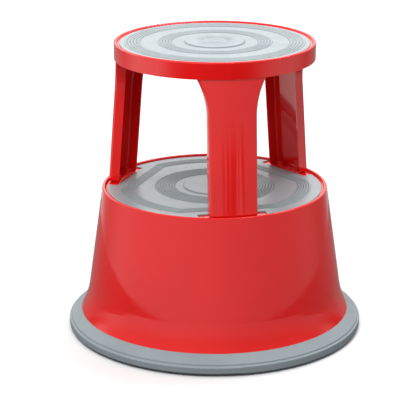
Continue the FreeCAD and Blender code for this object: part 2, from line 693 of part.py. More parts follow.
def castor_fork(name, turn):
    """Pressed fork: two cheeks that come down from a top plate to the axle."""
    label = name + "_fork"
    body = new_body(label)
    back, front = "-fork_back", "trail + fork_front"
    side = outline(body, label + "_side", "XZ_Plane", [
        (back, "fork_top"), (front, "fork_top"), ("trail + cheek_round", "tyre_radius"),
        ("trail + cheek_round", "tyre_radius - cheek_round"),
        ("trail - cheek_round", "tyre_radius - cheek_round"), (back, "fork_top - fork_back / 2")])
    block = pad(body, side, "2 * cheek_outer", midplane=True)
    low = measure("tyre_radius - cheek_round")
    tips = edges_near(block, lambda edge: all(abs(vertex.Z - low) < SNAP for vertex in edge.Vertexes)
                      and abs(edge.Vertexes[0].X - edge.Vertexes[-1].X) < SNAP)
    fillet(body, block, tips, "0.8 * cheek_round")
    slot = outline(body, label + "_slot", "YZ_Plane", [
        ("-cheek_inner", "0"), ("cheek_inner", "0"), ("cheek_inner", "fork_underside"),
        ("-cheek_inner", "fork_underside")])
    pocket(body, slot, "4 * (trail + fork_back)", midplane=True)
    stem_hole = circles(body, label + "_stem_hole", "XY_Plane", [("0", "0", "guide_radius")],
                        "fork_top")
    pocket(body, stem_hole, "fork_sheet")
    axle_hole = circles(body, label + "_axle_hole", "XZ_Plane",
                        [("trail", "tyre_radius", "axle_radius + running_gap")])
    pocket(body, axle_hole, "2 * cheek_outer", midplane=True)
    stand_castor(body, turn)


def cross_turned(label, half_section, rounds=()):
    """Body of revolution about the axle, from (radius, distance along the axle) corners."""
    body = new_body(label)
    points = [(radius, along) for radius, along in half_section]
    sketch = outline(body, label + "_section", "XY_Plane", points)
    shape = revolve(body, sketch)
    if rounds:
        corners, radius = rounds
        spots = [(measure(ring), measure(along)) for ring, along in corners]
        edges = edges_near(shape, lambda edge: any(
            isinstance(edge.Curve, Part.Circle) and abs(edge.Curve.Radius - ring) < SNAP
            and abs(edge.Curve.Center.y - along) < SNAP for ring, along in spots))
        fillet(body, shape, edges, radius)
    return body


def mirrored_section(half_section):
    """A section given on one side of the wheel's plane, closed by its mirror image."""
    return half_section + [(radius, f"-({along})") for radius, along in reversed(half_section)]


def castor_wheel(name, turn):
    """Wheel core with hub, web and rim, its rubber tyre, and the axle pin riveted in the fork."""
    wheel = cross_turned(name + "_wheel", mirrored_section([
        ("axle_radius + running_gap", "core_width / 2"), ("hub_radius", "core_width / 2"),
        ("hub_radius", "core_web / 2"), ("core_radius - fork_sheet", "core_web / 2"),
        ("core_radius - fork_sheet", "core_width / 2"), ("core_radius", "core_width / 2")]))
    tyre = cross_turned(name + "_tyre", mirrored_section([
        ("core_radius", "wheel_width / 2"), ("tyre_radius", "wheel_width / 2")]),
        rounds=([("tyre_radius", "wheel_width / 2"), ("tyre_radius", "-wheel_width / 2")],
                "tyre_round"))
    axle = cross_turned(name + "_axle", mirrored_section([
        ("0", "cheek_outer + axle_head_height"), ("axle_head_radius", "cheek_outer + axle_head_height"),
        ("axle_head_radius", "cheek_outer"), ("axle_radius", "cheek_outer")]))
    for piece in (wheel, tyre, axle):
        stand_castor(piece, turn, ahead="trail", up="tyre_radius")


def castor_clip(name, turn):
    """Spring clip that snaps into the stem's groove from the side."""
    label = name + "_clip"
    body = new_body(label)
    mouth = "groove_radius * 0.8"
    disc = circles(body, label + "_disc", "XY_Plane", [("0", "0", "clip_radius")], "clip_bottom")
    pad(body, disc, "clip_thickness")
    bore = circles(body, label + "_bore", "XY_Plane", [("0", "0", "groove_radius + running_gap")],
                   "clip_top")
    pocket(body, bore, "clip_thickness")
    opening = outline(body, label + "_mouth", "XY_Plane", [
        ("0", f"-{mouth}"), ("2 * clip_radius", f"-{mouth}"), ("2 * clip_radius", mouth),
        ("0", mouth)], "clip_top")
    pocket(body, opening, "clip_thickness")
    stand_castor(body, turn)


def castor_spring_seat(name, turn):
    """Cupped washer under the spring that rides up and down the stem."""
    rim_outer = "seat_inner_rim + seat_wall"
    body = turned_piece(name + "_spring_seat", [
        ("guide_radius", "seat_bottom"), (rim_outer, "seat_bottom"),
        (rim_outer, "seat_top + seat_rim"), ("seat_inner_rim", "seat_top + seat_rim"),
        ("seat_inner_rim", "seat_top"), ("guide_radius", "seat_top")])
    stand_castor(body, turn)


def castor_spring(name, turn):
    """Helical spring, swept along its coil between the seat and the bracket's upper plate."""
    wire = measure("spring_wire / 2")
    coil = measure("spring_radius") - wire
    low = measure("seat_top + flat_gap") + wire
    height = measure("spring_length - 2 * flat_gap") - 2 * wire
    helix = Part.makeHelix(height / measure("spring_turns"), height, coil)
    section = Part.Wire([Part.makeCircle(wire, FreeCAD.Vector(coil, 0, 0), FreeCAD.Vector(0, 1, 0))])
    spring = DOC.addObject("Part::Feature", name + "_spring")
    spring.Shape = Part.Wire(helix).makePipeShell([section], True, True)
    spring.Label = name + "_spring"
    PARTS.append(spring)
    stand_castor(spring, turn, up=low)


def castor(name, turn):
    castor_bracket(name, turn)
    castor_stem(name, turn)
    castor_fork(name, turn)
    castor_wheel(name, turn)
    castor_clip(name, turn)
    castor_spring_seat(name, turn)
    castor_spring(name, turn)


def export():
    """Checks every object and writes each sub-part to its own file."""
    DOC.recompute()
    for item in DOC.Objects:
        if {"Invalid", "Error"} & set(item.State):
            raise RuntimeError(f"{item.Label} failed: {item.State}")
    os.makedirs("parts", exist_ok=True)
    for part in PARTS:
        if part.Shape.isNull() or not part.Shape.isValid():
            raise RuntimeError(f"{part.Label} has no valid shape")
        part.Shape.exportStep(f"parts/{part.Label}.step")
        print(part.Label, len(part.Shape.Solids), round(part.Shape.Volume))


base_drum()
base_bumper()
upper_pan()
tread("top_mat", "top_hollow", "top_floor", "upper_disc_radius")
lower_mat()
for pillar_label, pillar_turn in PILLARS.items():
    pillar(pillar_label, pillar_turn)
foot_bolts()
foot_washers()
flange_nuts("deck_nuts", "foot_bolt_ring", "step_floor - drum_sheet")
head_studs()
flange_nuts("top_nuts", "head_bolt_ring", "top_underside - pillar_sheet")
for castor_label, castor_turn in CASTORS.items():
    castor(castor_label, castor_turn)
export()
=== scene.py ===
"""Looks of the kick step stool: mats, fasteners, springs, finishes, floor, light and camera. Metres, Z up."""

import json
import math

import bmesh
import bpy
import numpy as np
from mathutils import Matrix, Vector


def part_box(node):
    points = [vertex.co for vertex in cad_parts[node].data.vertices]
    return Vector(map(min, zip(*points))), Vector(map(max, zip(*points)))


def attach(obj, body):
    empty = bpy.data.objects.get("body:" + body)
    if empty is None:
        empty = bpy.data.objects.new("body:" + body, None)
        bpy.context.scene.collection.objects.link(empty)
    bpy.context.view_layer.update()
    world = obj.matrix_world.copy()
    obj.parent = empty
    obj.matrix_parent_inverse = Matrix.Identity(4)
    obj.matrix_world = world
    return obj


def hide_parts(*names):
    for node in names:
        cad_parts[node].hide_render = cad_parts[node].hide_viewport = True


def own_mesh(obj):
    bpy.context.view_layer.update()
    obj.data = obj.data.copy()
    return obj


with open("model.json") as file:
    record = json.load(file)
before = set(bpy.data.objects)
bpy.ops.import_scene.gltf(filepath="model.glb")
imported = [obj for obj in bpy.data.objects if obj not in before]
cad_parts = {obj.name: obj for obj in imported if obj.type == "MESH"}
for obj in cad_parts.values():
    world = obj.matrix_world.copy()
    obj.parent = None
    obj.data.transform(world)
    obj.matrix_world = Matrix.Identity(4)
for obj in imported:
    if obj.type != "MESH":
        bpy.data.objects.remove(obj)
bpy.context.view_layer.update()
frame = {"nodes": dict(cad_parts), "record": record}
nodes = frame["nodes"]

PILLAR_AZIMUTHS = (-90.0, 30.0, 150.0)
CASTOR_NAMES = ("castor_1", "castor_2", "castor_3")


# Mesh helpers


def new_piece(name, verts, faces, sharp_deg=35.0):
    """A mesh object with smooth shading, and sharp edges past an angle."""
    mesh = bpy.data.meshes.new(name)
    mesh.from_pydata([tuple(v) for v in verts], [], faces)
    mesh.validate()
    obj = bpy.data.objects.new(name, mesh)
    bpy.context.scene.collection.objects.link(obj)
    smooth(obj, sharp_deg)
    return obj


def smooth(obj, sharp_deg):
    obj.data.shade_smooth()
    obj.data.set_sharp_from_angle(angle=math.radians(sharp_deg))
    obj.data.update()


def point_attribute(obj, name, values):
    attribute = obj.data.attributes.new(name, "FLOAT", "POINT")
    attribute.data.foreach_set("value", np.asarray(values, np.float32))


def turned(rings, steps, centre=(0.0, 0.0), radius_at=None):
    """Points and faces of a closed solid from rings of (radius, height), the first and last at the middle.

    radius_at(ring number, angle in degrees) gives a ring's radius where it isn't round.
    """
    points = [(centre[0], centre[1], rings[0][1])]
    for number, (radius, height, *_) in enumerate(rings[1:-1], start=1):
        for step in range(steps):
            degrees = 360.0 * step / steps
            angle = math.radians(degrees)
            here = radius_at(number, degrees) if radius_at else radius
            level = height(degrees) if callable(height) else height
            points.append((centre[0] + here * math.cos(angle), centre[1] + here * math.sin(angle), level))
    points.append((centre[0], centre[1], rings[-1][1]))
    faces = []
    for step in range(steps):
        after = (step + 1) % steps
        faces.append((0, 1 + step, 1 + after))
        for number in range(len(rings) - 3):
            low, high = 1 + number * steps, 1 + (number + 1) * steps
            faces.append((low + step, high + step, high + after, low + after))
        last = 1 + (len(rings) - 3) * steps
        faces.append((last + step, len(points) - 1, last + after))
    return points, faces


def joined(name, parts, sharp_deg=35.0):
    """One piece from several (points, faces)."""
    verts, faces = [], []
    for points, polygons in parts:
        start = len(verts)
        verts.extend(points)
        faces.extend(tuple(start + i for i in polygon) for polygon in polygons)
    return new_piece(name, verts, faces, sharp_deg)


def solids_of(node):
    """(lowest corner, highest corner) of each separate solid of a CAD node, in a fixed order."""
    mesh = nodes[node].data
    keys = [tuple(round(c, 5) for c in v.co) for v in mesh.vertices]
    parent = {key: key for key in keys}

    def root(key):
        while parent[key] != key:
            parent[key] = parent[parent[key]]
            key = parent[key]
        return key

    for edge in mesh.edges:
        a, b = root(keys[edge.vertices[0]]), root(keys[edge.vertices[1]])
        if a != b:
            parent[a] = b
    groups = {}
    for key in parent:
        groups.setdefault(root(key), []).append(key)
    boxes = [(Vector(np.min(g, axis=0)), Vector(np.max(g, axis=0))) for g in groups.values()]
    return sorted(boxes, key=lambda box: (round(box[0].x, 4), round(box[0].y, 4)))


# Finishes


class Finish:
    """One procedural material and short calls for its nodes."""

    def __init__(self, name):
        self.material = bpy.data.materials.new(name)
        self.material.use_nodes = True
        self.tree = self.material.node_tree
        self.shader = self.tree.nodes["Principled BSDF"]
        self.place = self.tree.nodes.new("ShaderNodeTexCoord").outputs["Object"]

    def fixed(self, **values):
        for name, value in values.items():
            self.shader.inputs[name.replace("_", " ")].default_value = value
        return self

    def link(self, output, name):
        self.tree.links.new(output, self.shader.inputs[name])

    def put(self, socket, value):
        if isinstance(value, bpy.types.NodeSocket):
            self.tree.links.new(value, socket)
        else:
            socket.default_value = value

    def stretched(self, stretch):
        node = self.tree.nodes.new("ShaderNodeMapping")
        node.inputs["Scale"].default_value = stretch
        self.tree.links.new(self.place, node.inputs["Vector"])
        return node.outputs["Vector"]

    def noise(self, scale, detail=3.0, roughness=0.5, stretch=(1, 1, 1), warp=0.0):
        node = self.tree.nodes.new("ShaderNodeTexNoise")
        node.inputs["Scale"].default_value = scale
        node.inputs["Detail"].default_value = detail
        node.inputs["Roughness"].default_value = roughness
        node.inputs["Distortion"].default_value = warp
        self.tree.links.new(self.stretched(stretch), node.inputs["Vector"])
        return node.outputs["Fac"]

    def cells(self, scale, feature="F1", stretch=(1, 1, 1)):
        node = self.tree.nodes.new("ShaderNodeTexVoronoi")
        node.feature = feature
        node.inputs["Scale"].default_value = scale
        self.tree.links.new(self.stretched(stretch), node.inputs["Vector"])
        return node.outputs["Distance"] if feature == "DISTANCE_TO_EDGE" else node.outputs["Color"]

    def spread(self, value, low, high, to_low=0.0, to_high=1.0):
        node = self.tree.nodes.new("ShaderNodeMapRange")
        node.interpolation_type = "SMOOTHSTEP"
        self.put(node.inputs["Value"], value)
        for name, number in zip(("From Min", "From Max", "To Min", "To Max"), (low, high, to_low, to_high)):
            node.inputs[name].default_value = number
        return node.outputs["Result"]

    def maths(self, operation, a, b=0.0):
        node = self.tree.nodes.new("ShaderNodeMath")
        node.operation = operation
        self.put(node.inputs[0], a)
        self.put(node.inputs[1], b)
        return node.outputs["Value"]

    def mix(self, share, a, b):
        node = self.tree.nodes.new("ShaderNodeMix")
        node.data_type = "RGBA"
        self.put(node.inputs["Factor"], share)
        for socket, colour in ((node.inputs[6], a), (node.inputs[7], b)):
            self.put(socket, colour if isinstance(colour, bpy.types.NodeSocket) else (*colour, 1.0))
        return node.outputs[2]

    def attribute(self, name):
        node = self.tree.nodes.new("ShaderNodeAttribute")
        node.attribute_name = name
        return node.outputs["Fac"]

    def along(self, axis):
        node = self.tree.nodes.new("ShaderNodeSeparateXYZ")
        self.tree.links.new(self.place, node.inputs["Vector"])
        return node.outputs[axis]

    def edges(self, radius):
        """0 on flat and gently curved surfaces, up to 1 along outer edges and folds."""
        bevel = self.tree.nodes.new("ShaderNodeBevel")
        bevel.samples = 4
        bevel.inputs["Radius"].default_value = radius
        geometry = self.tree.nodes.new("ShaderNodeNewGeometry")
        dot = self.tree.nodes.new("ShaderNodeVectorMath")
        dot.operation = "DOT_PRODUCT"
        self.tree.links.new(bevel.outputs["Normal"], dot.inputs[0])
        self.tree.links.new(geometry.outputs["Normal"], dot.inputs[1])
        return self.spread(dot.outputs["Value"], 0.98, 0.82)

    def bumps(self, *layers):
        """Each layer is (height from 0 to 1, its real height in metres)."""
        normal = None
        for height, depth in layers:
            node = self.tree.nodes.new("ShaderNodeBump")
            node.inputs["Strength"].default_value = 1.0
            node.inputs["Distance"].default_value = depth
            self.tree.links.new(height, node.inputs["Height"])
            if normal is not None:
                self.tree.links.new(normal, node.inputs["Normal"])
            normal = node.outputs["Normal"]
        self.link(normal, "Normal")
        return self


def red_enamel():
    f = Finish("red_enamel")
    f.fixed(IOR=1.5)
    depth = f.noise(9.0, 2.0)
    colour = f.mix(f.spread(depth, 0.35, 0.65), (0.73, 0.0085, 0.0075), (0.69, 0.007, 0.0065))
    specks = f.spread(f.noise(900.0, 2.0), 0.70, 0.78)
    colour = f.mix(f.maths("MULTIPLY", specks, 0.12), colour, (0.80, 0.02, 0.018))
    worn = f.maths("MULTIPLY", f.edges(0.0007), f.spread(f.noise(160.0, 4.0, 0.6), 0.48, 0.66))
    colour = f.mix(f.maths("MULTIPLY", worn, 0.30), colour, (0.74, 0.06, 0.05))
    f.link(colour, "Base Color")
    gloss = f.spread(f.noise(26.0, 4.0, 0.6), 0.3, 0.7, 0.045, 0.085)
    scuffs = f.spread(f.noise(34.0, 5.0, 0.7, (1, 1, 0.15), 0.6), 0.60, 0.72, 0.0, 0.04)
    gloss = f.maths("ADD", f.maths("ADD", gloss, scuffs), f.maths("MULTIPLY", worn, 0.15))
    f.link(gloss, "Roughness")
    pressed = f.noise(30.0, 1.0, 0.4, (1, 1, 0.09))
    peel = f.noise(520.0, 2.0, 0.5)
    return f.bumps((pressed, 0.00030), (peel, 0.0000055)).material


def tread_rubber():
    f = Finish("tread_rubber")
    f.fixed(IOR=1.52)
    relief_for_painted_shade, rib_band_painted_shade = f.attribute("relief_for_painted_shade"), f.attribute("rib_band_painted_shade")
    blotch = f.noise(16.0, 4.0, 0.6)
    colour = f.mix(f.spread(blotch, 0.3, 0.7), (0.258, 0.306, 0.320), (0.288, 0.334, 0.346))
    # Painted shade: rib bands are darkened for the shade in their grooves, most on the lower mat under the top
    # pan.
    colour = f.mix(f.maths("MULTIPLY", rib_band_painted_shade, 0.50), colour, (0.110, 0.145, 0.165))
    # Painted shade: low relief (rib valleys, the disc's groove, the mat's side and underside) darkens the rubber.
    colour = f.mix(f.spread(relief_for_painted_shade, 0.45, 0.0, 0.0, 0.60), colour, (0.095, 0.125, 0.140))
    flecks = f.spread(f.noise(620.0, 3.0, 0.6), 0.62, 0.72, 0.0, 0.22)
    colour = f.mix(flecks, colour, (0.27, 0.30, 0.31))
    f.link(colour, "Base Color")
    dull = f.spread(f.noise(60.0, 4.0, 0.65), 0.3, 0.7, 0.27, 0.36)
    f.link(f.maths("ADD", dull, f.maths("MULTIPLY", rib_band_painted_shade, 0.06)), "Roughness")
    grain = f.noise(1500.0, 3.0, 0.55)
    swell = f.noise(38.0, 2.0)
    return f.bumps((swell, 0.00009), (grain, 0.000012)).material


def bumper_rubber():
    f = Finish("bumper_rubber")
    f.fixed(IOR=1.5)
    blotch = f.noise(11.0, 4.0, 0.6)
    colour = f.mix(f.spread(blotch, 0.3, 0.7), (0.235, 0.279, 0.298), (0.267, 0.311, 0.328))
    rubbed = f.spread(f.noise(70.0, 5.0, 0.7, (1, 1, 3)), 0.55, 0.70)
    low = f.spread(f.along("Z"), 0.016, 0.006)
    colour = f.mix(f.maths("MULTIPLY", f.maths("MULTIPLY", rubbed, low), 0.40), colour, (0.33, 0.35, 0.35))
    flecks = f.spread(f.noise(700.0, 3.0, 0.6), 0.63, 0.72, 0.0, 0.18)
    colour = f.mix(flecks, colour, (0.30, 0.33, 0.34))
    f.link(colour, "Base Color")
    dull = f.spread(f.noise(55.0, 4.0, 0.65), 0.3, 0.7, 0.55, 0.66)
    f.link(f.maths("ADD", dull, f.maths("MULTIPLY", rubbed, 0.08)), "Roughness")
    grain = f.noise(1300.0, 3.0, 0.55)
    swell = f.noise(45.0, 2.0)
    return f.bumps((swell, 0.00012), (grain, 0.000016)).material


def zinc_plate():
    f = Finish("zinc_plate")
    f.fixed(Metallic=1.0)
    spangle = f.cells(420.0)
    tint = f.mix(f.spread(f.noise(120.0, 3.0), 0.35, 0.65), (0.62, 0.64, 0.66), (0.66, 0.645, 0.58))
    f.link(f.mix(f.maths("MULTIPLY", spangle, 0.22), tint, (0.74, 0.75, 0.77)), "Base Color")
    f.link(f.spread(f.noise(240.0, 4.0, 0.6), 0.3, 0.7, 0.24, 0.42), "Roughness")
    return f.bumps((f.noise(800.0, 3.0), 0.00001)).material


def bright_steel():
    f = Finish("bright_steel")
    f.fixed(Metallic=1.0)
    oil = f.noise(90.0, 4.0, 0.6)
    f.link(f.mix(f.spread(oil, 0.4, 0.7), (0.57, 0.56, 0.55), (0.43, 0.40, 0.36)), "Base Color")
    lathe = f.noise(1.0, 2.0, 0.5, (60, 60, 3800))
    f.link(f.spread(lathe, 0.3, 0.7, 0.18, 0.36), "Roughness")
    return f.bumps((lathe, 0.000006)).material


def spring_steel():
    f = Finish("spring_steel")
    f.fixed(Metallic=1.0)
    blued = f.noise(70.0, 4.0, 0.6)
    f.link(f.mix(f.spread(blued, 0.35, 0.7), (0.25, 0.255, 0.275), (0.16, 0.145, 0.13)), "Base Color")
    f.link(f.spread(f.noise(300.0, 3.0), 0.3, 0.7, 0.28, 0.45), "Roughness")
    return f.bumps((f.noise(900.0, 3.0), 0.000012)).material


def nylon():
    f = Finish("nylon")
    f.fixed(Subsurface_Weight=0.12, Subsurface_Scale=0.002, IOR=1.53)
    warm = f.noise(60.0, 3.0)
    f.link(f.mix(f.spread(warm, 0.3, 0.7), (0.66, 0.65, 0.59), (0.60, 0.58, 0.51)), "Base Color")
    f.link(f.spread(f.noise(200.0, 3.0), 0.3, 0.7, 0.36, 0.50), "Roughness")
    return f.bumps((f.noise(1100.0, 3.0), 0.000014)).material


def tyre_rubber():
    f = Finish("tyre_rubber")
    f.fixed(IOR=1.5)
    dust = f.spread(f.noise(130.0, 5.0, 0.7), 0.45, 0.72, 0.0, 0.6)
    f.link(f.mix(dust, (0.042, 0.042, 0.044), (0.12, 0.115, 0.108)), "Base Color")
    f.link(f.spread(f.noise(160.0, 4.0, 0.6), 0.3, 0.7, 0.52, 0.74), "Roughness")
    return f.bumps((f.noise(1200.0, 4.0, 0.6), 0.00003)).material


finishes = {
    "red_enamel": red_enamel(),
    "bumper_rubber": bumper_rubber(),
    "tread_rubber": tread_rubber(),
    "zinc_plate": zinc_plate(),
    "bright_steel": bright_steel(),
    "spring_steel": spring_steel(),
    "nylon": nylon(),
    "tyre_rubber": tyre_rubber(),
}
slot_of = {part["node"]: part["material_slot"] for part in frame["record"]["subparts"]}


def dress(obj, slot_name):
    obj.data.materials.clear()
    obj.data.materials.append(finishes[slot_name])


def stand_in(obj, node, body):
    """obj is shown in place of a CAD node, with that node's finish."""
    dress(obj, slot_of[node])
    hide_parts(node)
    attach(obj, body)
    return obj


for node_name, node_object in nodes.items():
    dress(node_object, slot_of[node_name])


# Tread mats: a raised middle disc, smooth bands and bands of fine concentric ribs

MAT_STEPS = 720
SMOOTH = 0.0016
RIB_TOP = 0.0023
VALLEY = 0.0014
DISC_TOP = 0.0028
GROOVE = 0.0010
EDGE_ROUND = 0.0009


def disc_rings(radius):
    """The raised disc, its rounded edge and the groove round it, as (radius, height, relief), where low relief
    paints shade into the groove.
    """
    return [
        (0.0, DISC_TOP, 1.0),
        (radius - 0.0030, DISC_TOP, 1.0),
        (radius - 0.0010, DISC_TOP, 1.0),
        (radius - 0.0004, DISC_TOP - 0.0001, 1.0),
        (radius - 0.0001, DISC_TOP - 0.0004, 0.8),
        (radius, GROOVE + 0.0003, 0.1),
        (radius + 0.0003, GROOVE, 0.0),
        (radius + 0.0012, GROOVE, 0.0),
        (radius + 0.0017, SMOOTH - 0.0001, 0.8),
        (radius + 0.0022, SMOOTH, 1.0),
    ]


def rib_rings(start, end, count, shade):
    """A band of ribs between two radii, darker than the smooth rubber by painted shade from 0 to 1, standing in
    for the shade in its grooves.
    """
    pitch = (end - start) / count
    shape = (
        (0.04, VALLEY, 0.0),
        (0.26, VALLEY, 0.0),
        (0.30, VALLEY + 0.0001, 0.1),
        (0.35, RIB_TOP - 0.0002, 0.8),
        (0.39, RIB_TOP - 0.00005, 0.9),
        (0.43, RIB_TOP, 0.9),
        (0.82, RIB_TOP, 0.9),
        (0.86, RIB_TOP - 0.00005, 0.9),
        (0.90, RIB_TOP - 0.0002, 0.8),
        (0.95, VALLEY + 0.0001, 0.1),
    )
    rings = []
    for rib in range(count):
        rings.extend((start + (rib + part) * pitch, height, relief_for_painted_shade, shade) for part, height, relief_for_painted_shade in shape)
    return rings


def edge_rings(radius):
    """The rounded outer edge, the side and the underside, with painted shade on the side and underside."""
    return [
        (radius - 0.0020, SMOOTH, 1.0),
        (radius - EDGE_ROUND, SMOOTH, 1.0),
        (radius - 0.3 * EDGE_ROUND, SMOOTH - 0.3 * EDGE_ROUND, 1.0),
        (radius, SMOOTH - EDGE_ROUND, 0.7),
        (radius, 0.0, 0.2),
        (0.0, 0.0, 0.2),
    ]


def mat(name, rings, node, radius_at=None):
    """A mat from its rings of (radius, height, relief), or of ribs with their painted shade, on the CAD mat's
    place; low relief paints shade.
    """
    low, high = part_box(node)
    middle = ((low.x + high.x) / 2, (low.y + high.y) / 2)
    raised = [(ring[0], low.z + ring[1]) for ring in rings]
    points, faces = turned(raised, MAT_STEPS, middle if radius_at is None else (0.0, 0.0), radius_at)
    faces = [tuple(reversed(face)) for face in faces]
    obj = new_piece(name, points, faces, 50.0)
    counts = [1] + [MAT_STEPS] * (len(rings) - 2) + [1]
    point_attribute(obj, "relief_for_painted_shade", np.repeat([ring[2] for ring in rings], counts))
    point_attribute(obj, "rib_band_painted_shade", np.repeat([ring[3] if len(ring) > 3 else 0.0 for ring in rings], counts))
    return obj


def band_of(*parts):
    rings = []
    for part in parts:
        rings.extend(part)
    return rings


TOP_DISC = 0.0426
top_low, top_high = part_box("top_mat")
top_radius = (top_high.x - top_low.x) / 2
emblem = [(0.0, DISC_TOP, 1.0)]
for ring_radius in (0.0120, 0.0165):
    emblem.extend(
        [
            (ring_radius - 0.0009, DISC_TOP, 1.0),
            (ring_radius - 0.0005, DISC_TOP + 0.0003, 1.0),
            (ring_radius + 0.0005, DISC_TOP + 0.0003, 1.0),
            (ring_radius + 0.0009, DISC_TOP, 1.0),
        ]
    )
top_rings = band_of(
    emblem,
    disc_rings(TOP_DISC)[1:],
    [(0.0600, SMOOTH, 1.0)],
    rib_rings(0.0620, 0.0830, 5, 0.20),
    [(0.0850, SMOOTH, 1.0), (0.1050, SMOOTH, 1.0)],
    rib_rings(0.1070, 0.1300, 5, 0.20),
    [(0.1315, SMOOTH, 1.0)],
    edge_rings(top_radius),
)
stand_in(mat("top_tread_mat", top_rings, "top_mat"), "top_mat", "stool")

LOWER_DISC = 0.0455
CHORD_HALF_ANGLE = 31.0
CHORD_FROM = 0.1180
NOTCH_WIDTH = 0.0970
NOTCH_INNER = 0.1349


def chord_share(degrees):
    """1 on the round part of the outer band, less where the band runs straight past a pillar."""
    for azimuth in PILLAR_AZIMUTHS:
        away = abs((degrees - azimuth + 180.0) % 360.0 - 180.0)
        if away < CHORD_HALF_ANGLE:
            return math.cos(math.radians(CHORD_HALF_ANGLE)) / math.cos(math.radians(away))
    return 1.0


lower_low, lower_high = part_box("lower_mat")
lower_radius = (lower_high.x - lower_low.x) / 2
# The lower mat's ribs get the most painted shade, for the shade under the top pan; its outer band gets less.
lower_rings = band_of(
    disc_rings(LOWER_DISC),
    [(0.0560, SMOOTH, 1.0)],
    rib_rings(0.0580, 0.0880, 7, 1.0),
    [(0.0900, SMOOTH, 1.0), (CHORD_FROM + 0.0010, SMOOTH, 1.0)],
    rib_rings(0.1220, 0.1410, 5, 0.60),
    [(0.1420, SMOOTH, 1.0)],
    edge_rings(lower_radius),
)


def lower_radius_at(number, degrees):
    radius = lower_rings[number][0]
    return radius * chord_share(degrees) if CHORD_FROM < radius < 0.1500 else radius


lower_tread = mat("lower_tread_mat", lower_rings, "lower_mat", lower_radius_at)
cutters = []
for azimuth in PILLAR_AZIMUTHS:
    cutter = bmesh.new()
    bmesh.ops.create_cube(cutter, size=1.0)
    depth = 0.06
    turn = Matrix.Rotation(math.radians(azimuth), 4, "Z")
    shift = Matrix.Translation((NOTCH_INNER + depth / 2, 0.0, lower_low.z))
    size = Matrix.Diagonal((depth, NOTCH_WIDTH, 0.02, 1.0))
    bmesh.ops.transform(cutter, matrix=turn @ shift @ size, verts=cutter.verts)
    mesh = bpy.data.meshes.new("notch")
    cutter.to_mesh(mesh)
    cutter.free()
    obj = bpy.data.objects.new("notch", mesh)
    bpy.context.scene.collection.objects.link(obj)
    cutters.append(obj)
for cutter in cutters:
    cut = lower_tread.modifiers.new("notch", "BOOLEAN")
    cut.operation = "DIFFERENCE"
    cut.solver = "EXACT"
    cut.object = cutter
bpy.context.view_layer.update()
evaluated = lower_tread.evaluated_get(bpy.context.evaluated_depsgraph_get())
lower_tread_mesh = bpy.data.meshes.new_from_object(evaluated)
lower_tread.modifiers.clear()
lower_tread.data = lower_tread_mesh
for cutter in cutters:
    bpy.data.objects.remove(cutter)
smooth(lower_tread, 50.0)
stand_in(lower_tread, "lower_mat", "stool")


# Fasteners: chamfered hexagons, rounded washers and threads

HEX_STEPS = 72
CHAMFER = math.tan(math.radians(30.0))
THREAD_PITCH = 0.0010
THREAD_DEPTH = 0.00035


def hex_radius(across_flats, degrees):
    away = (degrees + 30.0) % 60.0 - 30.0
    return across_flats / 2 / math.cos(math.radians(away))


def hex_head(across_flats, bottom, top, both=False):
    """Rings of a hexagon whose corners are chamfered on top, and below where both is set."""
    flat = 0.475 * across_flats

    def fall(degrees):
        return (hex_radius(across_flats, degrees) - flat) * CHAMFER

    under = (lambda d: bottom + fall(d)) if both else bottom
    rings = [(0.0, top), (flat, top), ("hex", lambda d: top - fall(d)), ("hex", under)]
    if both:
        rings.append((flat, bottom))
    return rings, across_flats


def thread_rings(radius, bottom, top):
    """A threaded shank from its top down to its chamfered tip."""
    rings = [(radius, top)]
    level = top - THREAD_PITCH / 2
    while level - THREAD_PITCH > bottom + THREAD_PITCH / 2:
        rings.extend(
            [
                (radius, level),
                (radius - THREAD_DEPTH, level - 0.42 * THREAD_PITCH),
                (radius - THREAD_DEPTH, level - 0.58 * THREAD_PITCH),
            ]
        )
        level -= THREAD_PITCH
    rings.extend([(radius, level), (radius - THREAD_DEPTH, bottom), (0.0, bottom)])
    return rings


def hex_turned(rings, across_flats, centre):
    """Turns rings, with each ring marked "hex" following a hexagon."""

    def radius_at(number, degrees):
        radius = rings[number][0]
        return hex_radius(across_flats, degrees) if radius == "hex" else radius

    points, faces = turned(rings, HEX_STEPS, centre, radius_at)
    return points, [tuple(reversed(face)) for face in faces]


def middle_of(box):
    return ((box[0].x + box[1].x) / 2, (box[0].y + box[1].y) / 2)


SHANK_RADIUS = 0.0030
BOLT_HEAD = 0.0040
NUT_FLANGE = 0.0056
bolt_parts = []
for box in solids_of("pillar_foot_bolts"):
    top, bottom = box[1].z, box[0].z
    head, across = hex_head(0.0100, top - BOLT_HEAD, top)
    rings = head + thread_rings(SHANK_RADIUS, bottom, top - BOLT_HEAD)
    bolt_parts.append(hex_turned(rings, across, middle_of(box)))
stand_in(joined("pillar_bolts", bolt_parts, 30.0), "pillar_foot_bolts", "stool")

washer_parts = []
for box in solids_of("pillar_foot_washers"):
    top, bottom, radius = box[1].z, box[0].z, (box[1].x - box[0].x) / 2
    edge = 0.3 * (top - bottom)
    rings = [
        (0.0, top),
        (radius - 1.2 * edge, top),
        (radius - 0.3 * edge, top - 0.3 * edge),
        (radius, top - edge),
        (radius, bottom),
        (0.0, bottom),
    ]
    points, faces = turned(rings, HEX_STEPS, middle_of(box))
    washer_parts.append((points, [tuple(reversed(face)) for face in faces]))
stand_in(joined("pillar_washers", washer_parts), "pillar_foot_washers", "stool")


